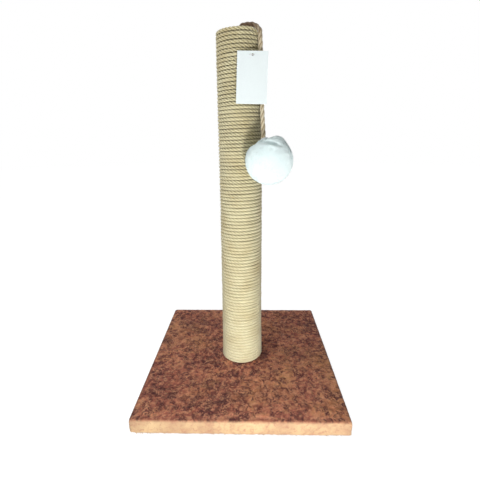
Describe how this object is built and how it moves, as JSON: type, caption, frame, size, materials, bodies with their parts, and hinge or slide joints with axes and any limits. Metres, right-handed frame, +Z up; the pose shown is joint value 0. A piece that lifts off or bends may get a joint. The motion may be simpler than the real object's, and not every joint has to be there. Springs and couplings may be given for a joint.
{
  "type": "cat scratching post",
  "caption": "Free-standing cat scratching post: square plush-covered base, upright tube wound with sisal rope, and a plush ball that hangs on a rope from the top.",
  "frame": {"origin": "centre of the square base's underside, on the floor plane", "axes": "+Z up along the post; -Y towards the side that the picture shows; +X to the right of that view"},
  "size_m": [0.35, 0.35, 0.6355],
  "materials": {
    "panel_wood": "raw particle board",
    "base_plush": "mottled short plush",
    "wire_steel": "bright wire",
    "zinc_steel": "zinc plated",
    "tube_paper": "matt kraft paper board",
    "plug_wood": "raw wood",
    "sisal_rope": "natural fibre rope",
    "toy_rope": "natural fibre rope",
    "ball_plush": "long soft pile",
    "ball_filling": "loose polyester fibre",
    "tie_thread": "sewing thread",
    "tag_card": "plain coated card",
    "clear_nylon": "translucent"
  },
  "bodies": {
    "post": {"base_board": "panel_wood", "base_cover": "base_plush", "hem_staples": "wire_steel", "post_bolt": "zinc_steel", "bolt_washer": "zinc_steel", "tee_nut": "zinc_steel", "core_tube": "tube_paper", "foot_plug": "plug_wood", "head_plug": "plug_wood", "plug_brads": "wire_steel", "rope_winding": "sisal_rope", "rope_sleeve": "sisal_rope", "rope_end_nails": "wire_steel", "head_knot": "toy_rope", "toy_rope_top": "toy_rope"},
    "sling": {"toy_rope_upper": "toy_rope", "tag_pin": "clear_nylon"},
    "drop": {"toy_rope_lower": "toy_rope", "ball_cover": "ball_plush", "ball_stuffing": "ball_filling", "ball_tie": "tie_thread", "ball_knot": "toy_rope"},
    "tag": {"hang_tag": "tag_card"}
  },
  "joints": [
    {"name": "toy_lift", "type": "hinge", "parent": "post", "child": "sling", "pos_m": [0.0338, -0.0256, 0.61], "axis": [-0.7905, -0.6124, 0], "range_deg": [0, 80]},
    {"name": "ball_swing", "type": "hinge", "parent": "sling", "child": "drop", "pos_m": [0.038, -0.0455, 0.497], "axis": [0.6124, -0.7905, 0], "range_deg": [-60, 60]},
    {"name": "tag_swing", "type": "hinge", "parent": "sling", "child": "tag", "pos_m": [0.022, -0.042, 0.5788], "axis": [0, -0.9857, 0.1685], "range_deg": [-60, 60]}
  ]
}
